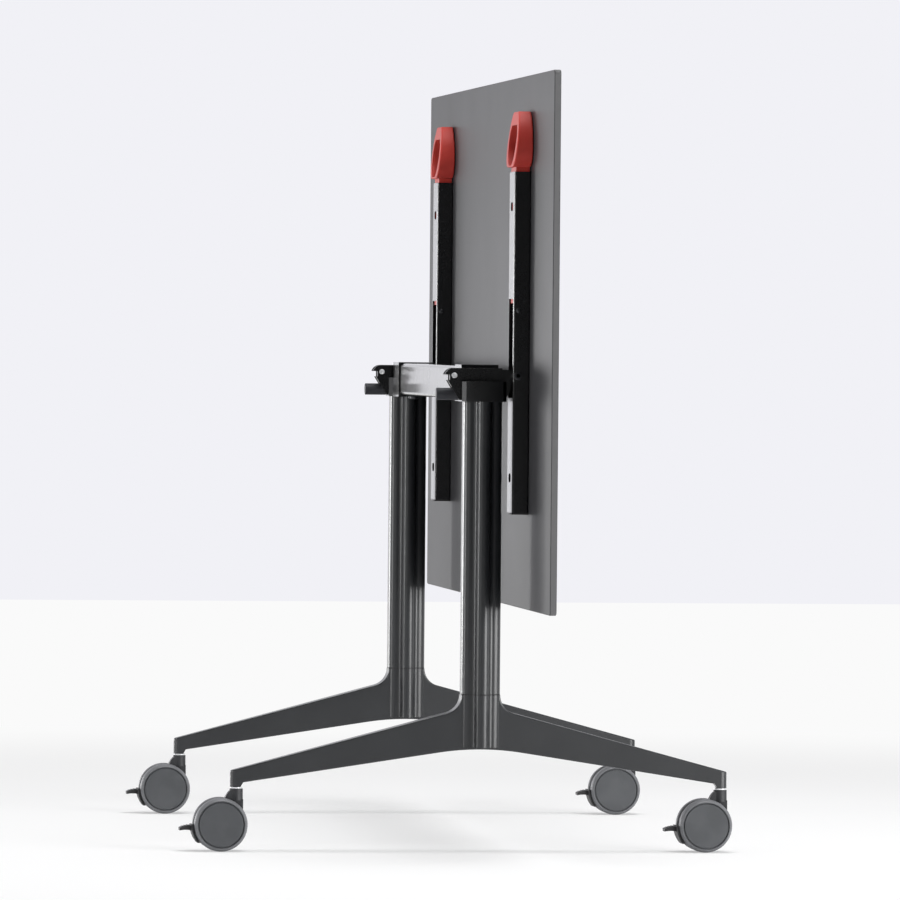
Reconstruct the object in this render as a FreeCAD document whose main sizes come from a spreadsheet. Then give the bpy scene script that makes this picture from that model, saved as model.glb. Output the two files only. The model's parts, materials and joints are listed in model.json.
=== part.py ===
"""Flip-top table on castors, with its top tilted upright.

Two T-shaped legs carry a crossbeam and a pair of hinge heads. The top turns about a pin in each
head. Two pull handles draw sprung latch bars out from under the heads' hooks.
Axes: X runs along the feet, Y along the table, Z up. The origin is on the floor, under the middle.
"""
import FreeCAD, Part
import math
import os
import re
import Sketcher

# Driving sizes in millimetres. A name ending in share is a ratio of the sizes that it follows.
SIZES = {
    # whole table
    "table_height": 740,
    "cut_overrun": 5,
    "seat_clearance": 0.3,
    "running_clearance": 0.05,
    # top
    "top_length": 1600,
    "top_width": 800,
    "top_overhang": 295,
    "top_thickness": 10,
    "top_corner_radius": 7,
    "top_edge_chamfer": 1,
    # tilt pivot, measured from the column's axis and from the top's underside
    "pivot_offset": 50,
    "pivot_drop": 17,
    "pivot_pin_diameter": 8,
    "pin_head_diameter": 13,
    "pin_head_thickness": 1.2,
    "bush_diameter": 11,
    # rails under the top
    "rail_length": 510,
    "rail_width": 62,
    "rail_depth": 25,
    "rail_wall": 2,
    "rail_corner_radius": 2.5,
    "window_width": 52,
    "window_above_pivot": 115,
    "window_below_pivot": 33,
    "rail_screw_reach": 203,
    "rail_screw_diameter": 6,
    "screw_head_diameter": 10,
    "screw_head_height": 6,
    "screw_access_height": 13,
    "screw_access_width": 26,
    "screw_access_round": 6,
    "screw_hole_clearance": 0.3,
    "insert_diameter": 10,
    "insert_depth": 8,
    "rivet_above_pivot": 97.5,
    "rivet_diameter": 4,
    "rivet_head_diameter": 8,
    "rivet_head_height": 1.5,
    "rivet_tail": 0.8,
    "cap_thickness": 2.5,
    "cap_plug_depth": 12,
    # pull handles, measured up from the rail's end
    "handle_length": 90,
    "handle_shoulder": 7,
    "handle_tang": 25,
    "handle_neck_width": 62,
    "handle_width": 120,
    "handle_widest": 38,
    "handle_end_width": 57,
    "handle_setback": 5,
    "handle_toe": 4,
    "handle_top_gap": 1,
    "handle_edge_radius": 2,
    "grip_bar": 20,
    "grip_hole_width": 88,
    "grip_hole_end_width": 58,
    "grip_hole_widest": 46,
    "grip_hole_tip": 9.5,
    "grip_hole_tip_width": 8,
    # latch bars and their springs
    "latch_bar_width": 40,
    "latch_bar_thickness": 6,
    "latch_clearance": 0.5,
    "latch_pull": 10,
    "latch_return": 6,
    "spring_diameter": 8,
    "spring_wire": 1.2,
    "spring_pitch": 3,
    # columns
    "column_depth": 58,
    "column_bar_width": 44,
    "column_bar_round": 11.5,
    "column_rib_span": 76,
    "column_rib_width": 20,
    "column_rib_round": 9,
    "column_groove_radius": 6.5,
    "column_bore": 32,
    "tie_rod_diameter": 12,
    "nut_width": 19,
    "nut_height": 10,
    "nut_recess_diameter": 24,
    "nut_recess_depth": 14,
    "rod_end_inset": 3,
    # bases
    "base_seam_height": 235,
    "hub_height": 81.5,
    "hub_rib_lift": 3,
    "swivel_reach": 365,
    "boss_radius": 9.5,
    "boss_bottom_height": 96,
    "arm_hub_width": 36,
    "arm_fillet_radius": 28,
    "arm_end_depth": 24.5,
    "arch_radius": 400,
    "boss_root_rise": 6.8,
    "boss_slant": 4,
    "arm_edge_radius": 2,
    # hinge heads
    "collar_height": 30,
    "collar_depth": 67,
    "collar_span": 70,
    "collar_bulge": 6,
    "collar_chamfer": 6,
    "rail_rest_gap": 1,
    "spine_width": 19,
    "spine_top_gap": 6,
    "spine_front_step": 8,
    "spine_gusset_drop": 26,
    "barrel_width": 50,
    "barrel_radius": 8,
    "rod_engagement": 22,
    "socket_start": 35,
    "socket_length": 80,
    "socket_wall": 3,
    "socket_back": 8,
    # hook plates
    "plate_thickness": 5,
    "beak_reach": 58,
    "beak_nose": 1.5,
    "beak_ramp": 13,
    "mouth_reach": 51,
    "mouth_depth": 8.4,
    "mouth_over_bar": 0.7,
    "jaw_reach": 54,
    "jaw_foot_height": 2,
    "jaw_foot_width": 3,
    "plate_back_reach": 28,
    "plate_top_gap": 6,
    "hook_pin_diameter": 8.5,
    "hook_pin_reach": 44,
    "hook_pin_stand": 1.2,
    # nesting bumpers
    "bumper_reach": 70,
    "bumper_diameter": 18.4,
    "bumper_height": 11,
    "bumper_edge_radius": 1.5,
    # crossbeam
    "beam_height": 50,
    "beam_depth": 50,
    "beam_wall": 2,
    "beam_round": 5,
    "beam_lift": 3,
    "beam_bolt_diameter": 8,
    "beam_bolt_head_diameter": 14,
    "beam_bolt_head_height": 4.4,
    "beam_bolt_length": 14,
    "beam_bolt_spacing": 28,
    # castors
    "wheel_diameter": 80,
    "caster_width": 57,
    "wheel_gap": 17,
    "caster_trail": 24,
    "tread_thickness": 4.5,
    "tread_lip": 0.8,
    "crown_depth": 10,
    "tread_round": 3.5,
    "rim_groove_width": 1.5,
    "rim_groove_depth": 2.5,
    "rim_width": 1,
    "rim_wall": 5,
    "face_dish": 0.4,
    "wheel_web": 5,
    "hub_radius": 10,
    "axle_diameter": 8,
    "axle_cover": 4,
    "fork_width": 15,
    "fork_radius": 33,
    "fork_slot_width": 6.2,
    "neck_radius": 10,
    "neck_height": 17.5,
    "neck_root": 2,
    "horn_reach": 19,
    "horn_drop": 3,
    "horn_fall": 20,
    "horn_radius": 30,
    "stem_diameter": 10,
    "stem_engagement": 26,
    "stem_root": 18,
    "flange_diameter": 18,
    "flange_thickness": 2.5,
    # brake levers
    "lever_reach": 21,
    "lever_gap": 1,
    "shoe_thickness": 3,
    "shoe_width": 40,
    "shoe_drop": 27,
    "tab_thickness": 4,
    "tab_root_drop": 1,
    "tab_crown_radius": 45,
    "tab_belly_radius": 40,
    "tab_width": 24,
    "lever_ring_radius": 10,
    "lever_arm_height": 9,
}

# Sizes worked out from the driving ones, as formulas for the sheet.
DERIVED = {
    "column_half": "column_depth / 2",
    "half_spacing": "top_length / 2 - top_overhang",
    "wheel_radius": "wheel_diameter / 2",
    "front_reach": "swivel_reach + caster_trail + wheel_radius + lever_reach",
    "arm_reach": "swivel_reach + boss_radius",
    "rear_reach": "swivel_reach - caster_trail + wheel_radius",
    "column_x": "(front_reach - rear_reach) / 2",
    "pivot_x": "column_x + pivot_offset",
    "pivot_z": "table_height - top_thickness - pivot_drop",
    "underside_x": "pivot_x + pivot_drop",
    "underside_z": "table_height - top_thickness",
    "web_x": "underside_x - rail_depth",
    "pivot_inset": "rail_depth - pivot_drop",
    "top_centre_z": "pivot_z + pivot_offset",
    "rail_bottom_z": "top_centre_z - rail_length / 2",
    "rail_top_z": "rail_bottom_z + rail_length",
    "pivot_up_rail": "pivot_z - rail_bottom_z",
    "screw_low": "rail_length / 2 - rail_screw_reach",
    "screw_high": "rail_length / 2 + rail_screw_reach",
    "inner_half_width": "rail_width / 2 - rail_wall",
    "handle_flare": "(handle_width - handle_neck_width) / 2",
    "handle_flank_rise": "handle_widest - handle_shoulder",
    "handle_flank_radius": "(handle_flare ^ 2 + handle_flank_rise ^ 2) / (2 * handle_flare)",
    "handle_draw": "(handle_width - handle_end_width) / 2",
    "handle_crown_rise": "handle_length - handle_widest",
    "handle_crown_radius": "(handle_draw ^ 2 + handle_crown_rise ^ 2) / (2 * handle_draw)",
    "grip_hole_flare": "(grip_hole_width - grip_hole_tip_width) / 2",
    "grip_hole_rise": "grip_hole_widest - grip_hole_tip",
    "grip_hole_flank_radius": "(grip_hole_flare ^ 2 + grip_hole_rise ^ 2) / (2 * grip_hole_flare)",
    "grip_hole_draw": "(grip_hole_width - grip_hole_end_width) / 2",
    "grip_hole_crown": "handle_length - grip_bar - grip_hole_widest",
    "grip_hole_corner_radius": "(grip_hole_draw ^ 2 + grip_hole_crown ^ 2) / (2 * grip_hole_draw)",
    "arm_end_z": "boss_bottom_height + arm_end_depth",
    "arm_run": "arm_reach - column_half - arm_fillet_radius",
    "arm_fall": "base_seam_height - arm_end_z",
    "arm_square": "arm_run ^ 2 + arm_fall ^ 2",
    "arm_tangent": "sqrt(arm_square - arm_fillet_radius ^ 2)",
    "arm_sin_share": "(arm_fall * arm_tangent - arm_fillet_radius * arm_run) / arm_square",
    "arm_cos_share": "sqrt(1 - arm_sin_share ^ 2)",
    "hub_bottom_height": "base_seam_height - hub_height",
    "boss_inner": "arm_reach - 2 * boss_radius",
    "boss_root_z": "boss_bottom_height + boss_root_rise",
    "arch_fall": "arch_radius + boss_root_z - hub_bottom_height",
    "arch_square": "boss_inner ^ 2 + arch_fall ^ 2",
    "arch_tangent": "sqrt(arch_square - arch_radius ^ 2)",
    "arch_sin_share": "(arch_radius * boss_inner - arch_fall * arch_tangent) / arch_square",
    "arch_cos_share": "sqrt(1 - arch_sin_share ^ 2)",
    "fillet_x": "column_half + arm_fillet_radius * (1 - arm_sin_share)",
    "fillet_z": "base_seam_height - arm_fillet_radius * arm_cos_share",
    "arch_x": "arch_radius * arch_sin_share",
    "arch_z": "hub_bottom_height - arch_radius * (1 - arch_cos_share)",
    "taper_start": "column_half - column_bar_round",
    "taper_run": "swivel_reach - taper_start",
    "taper_square": "taper_run * taper_run + arm_hub_width * arm_hub_width / 4",
    "taper_tangent": "sqrt(taper_square - boss_radius * boss_radius)",
    "taper_sin_share": "(arm_hub_width / 2 * taper_tangent - boss_radius * taper_run) / taper_square",
    "taper_cos_share": "sqrt(1 - taper_sin_share * taper_sin_share)",
    "taper_end_x": "swivel_reach + boss_radius * taper_sin_share",
    "taper_end_y": "boss_radius * taper_cos_share",
    "collar_top_z": "underside_z - rail_depth - rail_rest_gap",
    "collar_bottom_z": "collar_top_z - collar_height",
    "collar_side_radius": "(collar_depth ^ 2 / 4 + collar_bulge ^ 2) / (2 * collar_bulge)",
    "spine_top_z": "underside_z - spine_top_gap",
    "bar_low": "rail_wall + seat_clearance - pivot_inset",
    "bar_high": "bar_low + latch_bar_thickness",
    "mouth_top_z": "pivot_z + bar_high + mouth_over_bar",
    "mouth_bottom_z": "mouth_top_z - mouth_depth",
    "beak_drop": "underside_z - plate_top_gap - mouth_top_z - beak_nose",
    "beak_radius": "(beak_ramp ^ 2 + beak_drop ^ 2) / (2 * beak_drop)",
    "tongue_up_pivot": "pivot_offset + beak_reach + latch_clearance",
    "beam_low_z": "collar_bottom_z + beam_lift",
    "beam_high_z": "beam_low_z + beam_height",
    "beam_end": "half_spacing - socket_start - socket_back",
    "wheel_width": "(caster_width - wheel_gap) / 2",
    "rim_radius": "wheel_radius - tread_thickness",
    "crown_rise": "tread_thickness - tread_lip",
    "crown_radius": "(crown_rise ^ 2 + crown_depth ^ 2) / (2 * crown_rise)",
    "flange_low_z": "boss_bottom_height - flange_thickness",
    "neck_top_z": "flange_low_z - seat_clearance",
    "shoe_inner": "wheel_radius + lever_gap",
    "shoe_outer": "shoe_inner + shoe_thickness",
}

LEGS = (("right", -1), ("left", 1))
ENDS = (("front", -1), ("rear", 1))
AXIS_TURNS = {
    "X": FreeCAD.Rotation(FreeCAD.Vector(0, 1, 0), 90),
    "Y": FreeCAD.Rotation(FreeCAD.Vector(1, 0, 0), -90),
    "Z": FreeCAD.Rotation(),
}

doc = FreeCAD.newDocument("tilting_table")
sheet = doc.addObject("Spreadsheet::Sheet", "Sizes")
nodes = {}


def fill_sheet():
    """Write the driving sizes as numbers and the others as formulas, each with its name."""
    rows = [(name, str(value)) for name, value in SIZES.items()]
    rows += [(name, "=" + formula) for name, formula in DERIVED.items()]
    for row, (name, text) in enumerate(rows, 1):
        sheet.set("A%d" % row, name)
        sheet.set("B%d" % row, text)
        sheet.setAlias("B%d" % row, name)
    doc.recompute()


def cells(text):
    """The expression with every size read from the sheet."""
    def qualified(word):
        name = word.group()
        return "Sizes." + name if name in SIZES or name in DERIVED else name
    return re.sub(r"[a-z][a-z_]*", qualified, text)


def number(text):
    """The expression's value now."""
    return float(sheet.evalExpression(text))


def place(item, x="0", y="0", z="0"):
    """Bind an object's position."""
    for axis, text in (("x", x), ("y", y), ("z", z)):
        item.setExpression("Placement.Base." + axis, cells(text))
    return item


def new_body(label):
    """A body that becomes the node of that name."""
    body = doc.addObject("PartDesign::Body", label)
    body.Label = label
    nodes[label] = body
    return body


def sketch_on(body, role, offset="0"):
    """A sketch on one of the body's own planes, moved along the plane's normal."""
    plane = next(item for item in body.Origin.OriginFeatures if item.Role == role)
    sketch = body.newObject("Sketcher::SketchObject", body.Name + "_sketch")
    sketch.AttachmentSupport = [(plane, "")]
    sketch.MapMode = "FlatFace"
    sketch.setExpression("AttachmentOffset.Base.z", cells(offset))
    return sketch


def constrain(sketch, kind, *place_and_text):
    """A driving constraint whose value follows an expression."""
    *where, text = place_and_text
    index = sketch.addConstraint(Sketcher.Constraint(kind, *where, number(text)))
    sketch.setExpression("Constraints[%d]" % index, cells(text))


def pin_point(sketch, geometry, point, x, y):
    """Hold a point of a sketch at x, y from the sketch's origin."""
    constrain(sketch, "DistanceX", -1, 1, geometry, point, x)
    constrain(sketch, "DistanceY", -1, 1, geometry, point, y)


def arc_between(start, end, radius, turn):
    """The shorter arc from start to end, turning left for 1 and right for -1."""
    chord = end - start
    left = FreeCAD.Vector(-chord.y, chord.x, 0).normalize()
    rise = math.sqrt(max(radius ** 2 - chord.Length ** 2 / 4, 0))
    centre = (start + end) / 2 + left * rise * turn
    first, last = (start, end) if turn > 0 else (end, start)
    angles = [math.atan2(p.y - centre.y, p.x - centre.x) for p in (first, last)]
    circle_curve = Part.Circle(centre, FreeCAD.Vector(0, 0, 1), radius)
    return Part.ArcOfCircle(circle_curve, *angles)


def outline(sketch, corners):
    """A closed outline. A corner is (x, y), or (x, y, radius, turn) where an arc leads on from it."""
    points = [FreeCAD.Vector(number(c[0]), number(c[1]), 0) for c in corners]
    joints = []
    for index, corner in enumerate(corners):
        start, end = points[index], points[(index + 1) % len(points)]
        if len(corner) == 2:
            geometry = sketch.addGeometry(Part.LineSegment(start, end), False)
            joints.append((geometry, 1, 2))
        else:
            radius, turn = corner[2:]
            geometry = sketch.addGeometry(arc_between(start, end, number(radius), turn), False)
            joints.append((geometry, 1, 2) if turn > 0 else (geometry, 2, 1))
    for index, corner in enumerate(corners):
        geometry, begins, ends = joints[index]
        following = joints[(index + 1) % len(joints)]
        sketch.addConstraint(Sketcher.Constraint("Coincident", geometry, ends, following[0], following[1]))
        pin_point(sketch, geometry, begins, corner[0], corner[1])
        if len(corner) > 2:
            constrain(sketch, "Radius", geometry, corner[2])
    return sketch


def rounded_box(sketch, low, high, radius):
    """A rectangle between two corners, each an x and y, with all its corners rounded."""
    corners = []
    for sx, sy in ((1, -1), (1, 1), (-1, 1), (-1, -1)):
        x = high[0] if sx > 0 else low[0]
        y = high[1] if sy > 0 else low[1]
        on_x = (x, "%s - %d * (%s)" % (y, sy, radius))
        on_y = ("%s - %d * (%s)" % (x, sx, radius), y)
        first, second = (on_x, on_y) if sx == sy else (on_y, on_x)
        corners += [first + (radius, 1), second]
    return outline(sketch, corners)


def box(sketch, low_x, low_y, high_x, high_y):
    """A plain rectangle between two corners."""
    return outline(sketch, [(low_x, low_y), (high_x, low_y), (high_x, high_y), (low_x, high_y)])


def circle(sketch, x, y, radius):
    """A circle at x, y."""
    shape = Part.Circle(FreeCAD.Vector(number(x), number(y), 0), FreeCAD.Vector(0, 0, 1), number(radius))
    geometry = sketch.addGeometry(shape, False)
    pin_point(sketch, geometry, 3, x, y)
    constrain(sketch, "Radius", geometry, radius)
    return sketch


def extrude(kind, sketch, length, both=False, flip=False):
    """A Pad or Pocket of a sketch, to one side or evenly to both."""
    body = sketch.getParentGeoFeatureGroup()
    step = body.newObject("PartDesign::" + kind, body.Name + "_" + kind.lower())
    step.Profile = sketch
    step.SideType = "Symmetric" if both else "One side"
    step.Reversed = flip
    step.setExpression("Length", cells(length))
    return step


def spin(kind, sketch, axis="V_Axis"):
    """A full Revolution or Groove of a sketch about one of its axes."""
    body = sketch.getParentGeoFeatureGroup()
    step = body.newObject("PartDesign::" + kind, body.Name + "_" + kind.lower())
    step.Profile = sketch
    step.ReferenceAxis = (sketch, [axis])
    step.Angle = 360
    return step


def soften(kind, body, size, wanted):
    """A Fillet or Chamfer on the edges of the body's last feature that the test wants."""
    doc.recompute()
    base = body.Tip
    names = ["Edge%d" % i for i, edge in enumerate(base.Shape.Edges, 1) if wanted(edge)]
    if not names:
        raise RuntimeError("no edge to soften on " + body.Label)
    step = body.newObject("PartDesign::" + kind, body.Name + "_" + kind.lower())
    step.Base = (base, names)
    step.setExpression("Radius" if kind == "Fillet" else "Size", cells(size))
    return step


def rod(name, axis, x, y, z, radius, length):
    """A round bar that starts at x, y, z and runs along an axis."""
    item = doc.addObject("Part::Cylinder", name)
    item.Placement = FreeCAD.Placement(FreeCAD.Vector(), AXIS_TURNS[axis])
    item.setExpression("Radius", cells(radius))
    item.setExpression("Height", cells(length))
    return place(item, x, y, z)


def joined(name, items):
    """Several bars made one solid."""
    item = doc.addObject("Part::MultiFuse", name)
    item.Shapes = items
    return item


def drilled(name, outer, inner):
    """One bar bored out by another."""
    item = doc.addObject("Part::Cut", name)
    item.Base = outer
    item.Tool = inner
    return item


def group(label, items):
    """Like pieces that share a node as separate solids."""
    item = doc.addObject("Part::Compound", label)
    item.Label = label
    item.Links = items
    nodes[label] = item
    return item


def leg_y(side):
    """The leg's place along the table."""
    return "%d * half_spacing" % side


def column_section(sketch):
    """The four-ribbed section that the column shares with its base."""
    half, bar, rib = "column_half", "column_bar_width / 2", "column_rib_width / 2"
    span = "column_rib_span / 2"
    quarter = [
        (half, "%s - column_bar_round" % bar, "column_bar_round", 1),
        ("%s - column_bar_round" % half, bar),
        ("%s + column_groove_radius" % rib, bar, "column_groove_radius", -1),
        (rib, "%s + column_groove_radius" % bar),
        (rib, "%s - column_rib_round" % span, "column_rib_round", 1),
        ("%s - column_rib_round" % rib, span),
    ]
    corners = []
    for sx, sy in ((1, 1), (-1, 1), (-1, -1), (1, -1)):
        turned = [("%d * (%s)" % (sx, c[0]), "%d * (%s)" % (sy, c[1])) for c in quarter]
        arcs = [c[2:] for c in quarter]
        if sx != sy:
            turned.reverse()
            arcs = arcs[-2::-1] + arcs[-1:]
        corners += [point + arc for point, arc in zip(turned, arcs)]
    return outline(sketch, corners)


def make_top():
    """The compact laminate top, upright, with bores for the rail screws' inserts."""
    body = place(new_body("tabletop"), "underside_x", "0", "top_centre_z")
    sheet_outline = sketch_on(body, "YZ_Plane")
    rounded_box(sheet_outline, ("-top_length / 2", "-top_width / 2"), ("top_length / 2", "top_width / 2"),
                "top_corner_radius")
    extrude("Pad", sheet_outline, "top_thickness")
    thin = number("top_edge_chamfer")
    soften("Chamfer", body, "top_edge_chamfer", lambda edge: edge.BoundBox.XLength < thin)
    bores = sketch_on(body, "YZ_Plane")
    for _, side in LEGS:
        for up in (-1, 1):
            circle(bores, leg_y(side), "%d * rail_screw_reach" % up, "insert_diameter / 2")
    extrude("Pocket", bores, "insert_depth", flip=True)


def make_rail(name, side):
    """A rectangular tube with a window for the head, slots to reach its screws and pivot holes."""
    body = place(new_body(name + "_rail"), "web_x", leg_y(side), "rail_bottom_z")
    tube = sketch_on(body, "XY_Plane")
    for inset in ("0", "rail_wall"):
        half = "rail_width / 2 - %s" % inset
        rounded_box(tube, (inset, "-(%s)" % half), ("rail_depth - %s" % inset, half),
                    "rail_corner_radius - %s" % inset)
    extrude("Pad", tube, "rail_length")
    window = sketch_on(body, "YZ_Plane")
    box(window, "-window_width / 2", "pivot_up_rail - window_below_pivot",
        "window_width / 2", "pivot_up_rail + window_above_pivot")
    extrude("Pocket", window, "rail_wall + seat_clearance", flip=True)
    screw_holes, slots = sketch_on(body, "YZ_Plane"), sketch_on(body, "YZ_Plane")
    wide, tall = "screw_access_width / 2", "screw_access_height / 2"
    for height in ("screw_low", "screw_high"):
        circle(screw_holes, "0", height, "rail_screw_diameter / 2 + screw_hole_clearance")
        rounded_box(slots, ("-" + wide, "%s - %s" % (height, tall)), (wide, "%s + %s" % (height, tall)),
                    "screw_access_round")
    extrude("Pocket", screw_holes, "rail_depth + cut_overrun", flip=True)
    extrude("Pocket", slots, "rail_wall + seat_clearance", flip=True)
    side_holes = sketch_on(body, "XZ_Plane")
    circle(side_holes, "pivot_inset", "pivot_up_rail", "pivot_pin_diameter / 2 + running_clearance")
    circle(side_holes, "pivot_inset", "pivot_up_rail + rivet_above_pivot", "rivet_diameter / 2")
    extrude("Pocket", side_holes, "rail_width + cut_overrun", both=True)


def make_rail_trim():
    """End caps, screws, inserts and rivets of both rails."""
    caps, screws, inserts, rivets = [], [], [], []
    for name, side in LEGS:
        y = leg_y(side)
        caps.append(make_cap(name, y))
        for up in (-1, 1):
            z = "top_centre_z + %d * rail_screw_reach" % up
            tag = "%s_%s" % (name, "high" if up > 0 else "low")
            seat = "underside_x - rail_wall"
            head = rod(tag + "_head", "X", seat + " - screw_head_height", y, z,
                       "screw_head_diameter / 2", "screw_head_height")
            shank = rod(tag + "_shank", "X", seat, y, z, "rail_screw_diameter / 2",
                        "rail_wall + insert_depth")
            screws.append(joined(tag + "_screw", [head, shank]))
            bush = rod(tag + "_bush", "X", "underside_x", y, z, "insert_diameter / 2", "insert_depth")
            bore = rod(tag + "_bore", "X", "underside_x", y, z, "rail_screw_diameter / 2", "insert_depth")
            inserts.append(drilled(tag + "_insert", bush, bore))
        for wall in (-1, 1):
            rivets.append(make_rivet(name, side, wall))
    group("rail_end_caps", caps)
    group("rail_screws", screws)
    group("screw_inserts", inserts)
    group("guide_rivets", rivets)


def make_cap(name, y):
    """A cap that closes the rail's lower end, with a plug inside the tube."""
    plate = doc.addObject("Part::Box", name + "_cap_plate")
    plug = doc.addObject("Part::Box", name + "_cap_plug")
    fit = "rail_wall + seat_clearance"
    sizes = (
        (plate, "rail_depth", "rail_width", "cap_thickness", "0", "rail_bottom_z - cap_thickness"),
        (plug, "rail_depth - 2 * (%s)" % fit, "rail_width - 2 * (%s)" % fit, "cap_plug_depth", fit,
         "rail_bottom_z"),
    )
    for item, depth, width, height, inset, z in sizes:
        item.setExpression("Length", cells(depth))
        item.setExpression("Width", cells(width))
        item.setExpression("Height", cells(height))
        place(item, "web_x + %s" % inset, "%s - (%s) / 2" % (y, width), z)
    return joined(name + "_cap", [plate, plug])


def make_rivet(name, side, wall):
    """A short rivet through one side wall of a rail, beside the latch bar."""
    tag = "%s_rivet_%s" % (name, "near" if wall < 0 else "far")
    x, z = "pivot_x", "pivot_z + rivet_above_pivot"
    face = "%s + %d * rail_width / 2" % (leg_y(side), wall)
    head_start = face if wall > 0 else face + " - rivet_head_height"
    reach = "rail_wall + rivet_tail"
    shank_start = face + " - (%s)" % reach if wall > 0 else face
    head = rod(tag + "_head", "Y", x, head_start, z, "rivet_head_diameter / 2", "rivet_head_height")
    shank = rod(tag + "_shank", "Y", x, shank_start, z, "rivet_diameter / 2", reach)
    return joined(tag, [head, shank])


def make_handle(name, side):
    """A loop handle whose tang slides in the end of the rail."""
    body = place(new_body(name + "_handle"), "web_x", leg_y(side), "rail_top_z")
    loop = sketch_on(body, "YZ_Plane", "-handle_toe")
    half, end, neck = "handle_width / 2", "handle_end_width / 2", "handle_neck_width / 2"
    outline(loop, [
        (neck, "handle_shoulder", "handle_flank_radius", 1),
        (half, "handle_widest", "handle_crown_radius", 1),
        (end, "handle_length"),
        ("-" + end, "handle_length", "handle_crown_radius", 1),
        ("-" + half, "handle_widest", "handle_flank_radius", 1),
        ("-" + neck, "handle_shoulder"),
    ])
    hole, mouth, tip = "grip_hole_width / 2", "grip_hole_end_width / 2", "grip_hole_tip_width / 2"
    inner = "handle_length - grip_bar"
    outline(loop, [
        (tip, "grip_hole_tip", "grip_hole_flank_radius", 1),
        (hole, "grip_hole_widest", "grip_hole_corner_radius", 1),
        (mouth, inner),
        ("-" + mouth, inner, "grip_hole_corner_radius", 1),
        ("-" + hole, "grip_hole_widest", "grip_hole_flank_radius", 1),
        ("-" + tip, "grip_hole_tip"),
    ])
    extrude("Pad", loop, "rail_depth - handle_top_gap + handle_toe")
    slope = sketch_on(body, "XZ_Plane")
    outline(slope, [
        ("-handle_toe - cut_overrun", "handle_shoulder"),
        ("-handle_toe", "handle_shoulder"),
        ("handle_setback", "handle_length"),
        ("handle_setback", "handle_length + cut_overrun"),
        ("-handle_toe - cut_overrun", "handle_length + cut_overrun"),
    ])
    extrude("Pocket", slope, "handle_width + cut_overrun", both=True)
    round_grip(body)
    fit = "rail_wall + seat_clearance"
    tang = sketch_on(body, "XY_Plane", "-handle_tang")
    box(tang, fit, "-(rail_width / 2 - (%s))" % fit,
        "rail_depth - (%s)" % fit, "rail_width / 2 - (%s)" % fit)
    extrude("Pad", tang, "handle_tang + handle_shoulder")


def round_grip(body):
    """Round the handle's long edges, those of its outside more than those of its hole."""
    flat = number("handle_setback + handle_toe")
    low, high = number("handle_shoulder"), number("handle_length - grip_bar / 2")
    limit = number("grip_hole_width / 2 + grip_bar / 4")

    def in_face(edge):
        return edge.BoundBox.XLength < flat and edge.CenterOfMass.z > low + flat / 2

    def outside(edge):
        reach = max(abs(vertex.Point.y) for vertex in edge.Vertexes)
        return in_face(edge) and (reach > limit or edge.CenterOfMass.z > high)
    soften("Fillet", body, "handle_edge_radius", outside)


def make_latch_bar(name, side):
    """A flat bar along the rail's web, from the handle's tang to the tongue, slotted to reach a screw."""
    body = place(new_body(name + "_latch_bar"), "pivot_x", leg_y(side), "pivot_z")
    bar = sketch_on(body, "YZ_Plane", "bar_low")
    top = "rail_top_z - handle_tang - pivot_z"
    box(bar, "-latch_bar_width / 2", "tongue_up_pivot", "latch_bar_width / 2", top)
    extrude("Pad", bar, "latch_bar_thickness")
    slot = sketch_on(body, "YZ_Plane", "bar_low")
    screw = "screw_high - pivot_up_rail"
    half = "rail_screw_diameter / 2 + screw_hole_clearance"
    low, high = "%s - latch_pull" % screw, "%s + latch_return" % screw
    outline(slot, [
        (half, low),
        (half, high, half, 1),
        ("0", "%s + %s" % (high, half), half, 1),
        ("-(%s)" % half, high),
        ("-(%s)" % half, low, half, 1),
        ("0", "%s - (%s)" % (low, half), half, 1),
    ])
    extrude("Pocket", slot, "latch_bar_thickness", flip=True)


def make_latch_spring(name, side):
    """A coil spring behind the bar, from the upper rail screw to the handle's tang."""
    wire = number("spring_wire")
    radius = number("(spring_diameter - spring_wire) / 2")
    low = number("top_centre_z + rail_screw_reach + rail_screw_diameter / 2 + spring_wire / 2")
    high = number("rail_top_z - handle_tang - spring_wire / 2")
    centre_x = number("pivot_x + bar_high + spring_diameter / 2 + seat_clearance")
    helix = Part.makeHelix(number("spring_pitch"), high - low, radius)
    start = helix.Edges[0].valueAt(helix.Edges[0].FirstParameter)
    tangent = helix.Edges[0].tangentAt(helix.Edges[0].FirstParameter)
    profile = Part.Wire([Part.makeCircle(wire / 2, start, tangent)])
    coil = Part.Wire(helix.Edges).makePipeShell([profile], True, True)
    item = doc.addObject("Part::Feature", name + "_latch_spring")
    item.Label = name + "_latch_spring"
    item.Shape = coil
    item.Placement.Base = FreeCAD.Vector(centre_x, number(leg_y(side)), low)
    nodes[item.Label] = item


def make_column(name, side):
    """A hollow ribbed column between the base's hub and the head."""
    body = place(new_body(name + "_column"), "column_x", leg_y(side), "base_seam_height")
    section = column_section(sketch_on(body, "XY_Plane"))
    circle(section, "0", "0", "column_bore / 2")
    extrude("Pad", section, "collar_bottom_z - base_seam_height")


def arm_outline():
    """The base's side view: both arms, the fillets up to the column and the arch below."""
    right = [
        ("boss_inner", "boss_root_z"),
        ("(boss_inner + boss_slant)", "boss_bottom_height"),
        ("arm_reach", "boss_bottom_height"),
        ("arm_reach", "arm_end_z"),
        ("fillet_x", "fillet_z", "arm_fillet_radius", -1),
        ("column_half", "base_seam_height"),
    ]
    left = [("-" + x, z) for x, z, *_ in reversed(right)]
    left[0] += ("arm_fillet_radius", -1)
    return right + left + [("-arch_x", "arch_z", "arch_radius", -1), ("arch_x", "arch_z")]


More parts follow.
